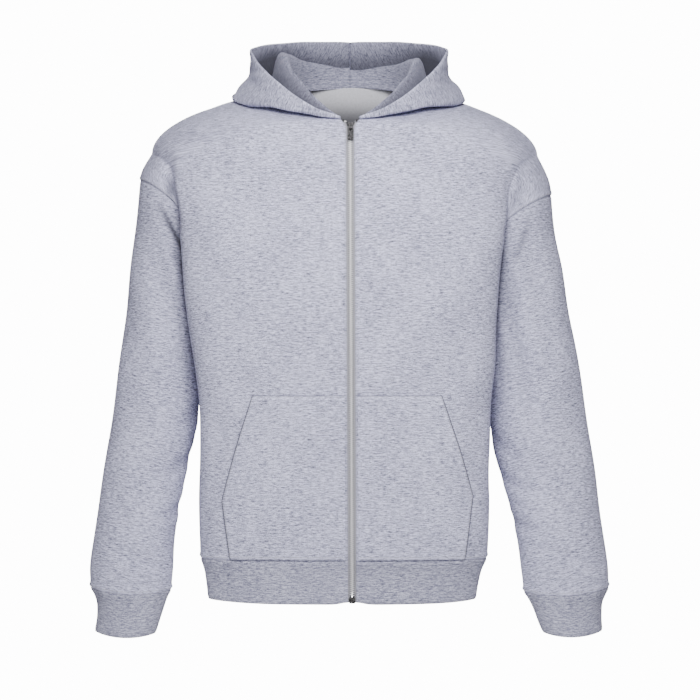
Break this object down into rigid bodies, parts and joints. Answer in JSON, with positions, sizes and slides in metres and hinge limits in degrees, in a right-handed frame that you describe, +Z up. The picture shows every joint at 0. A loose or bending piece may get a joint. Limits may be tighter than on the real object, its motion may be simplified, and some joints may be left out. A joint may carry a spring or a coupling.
{
  "type": "zip-up hoodie",
  "caption": "Drop-shoulder zip-up hoodie in grey heather fleece with kangaroo pocket, ribbed cuffs and hem, hood lying back",
  "frame": {"origin": "middle of the neck opening, level with the tops of the shoulders", "axes": "+X to the wearer's left, +Y to the back, +Z up"},
  "size_m": [0.7222, 0.332, 0.8401],
  "materials": {
    "fleece": "matte brushed heather fleece",
    "rib_knit": "matte fine rib knit",
    "zip_tape": "matte woven tape",
    "zip_metal": "dark polished nickel"
  },
  "bodies": {
    "garment": {"back": "fleece", "front_right": "fleece", "front_left": "fleece", "sleeve_right": "fleece", "sleeve_left": "fleece", "hood_right": "fleece", "hood_left": "fleece", "pocket_right": "fleece", "pocket_left": "fleece", "cuff_right": "rib_knit", "cuff_left": "rib_knit", "hem_rib": "rib_knit", "zip_tape_right": "zip_tape", "zip_tape_left": "zip_tape", "zip_slider": "zip_metal", "zip_stop_right": "zip_metal", "zip_stop_left": "zip_metal", "zip_bottom_box": "zip_metal"},
    "tab": {"zip_pull_tab": "zip_metal"}
  },
  "joints": [
    {"name": "pull_tab_hinge", "type": "hinge", "parent": "garment", "child": "tab", "pos_m": [0.00064, -0.09935, -0.06022], "axis": [1, 0, 0], "range_deg": [-120, 0]}
  ]
}
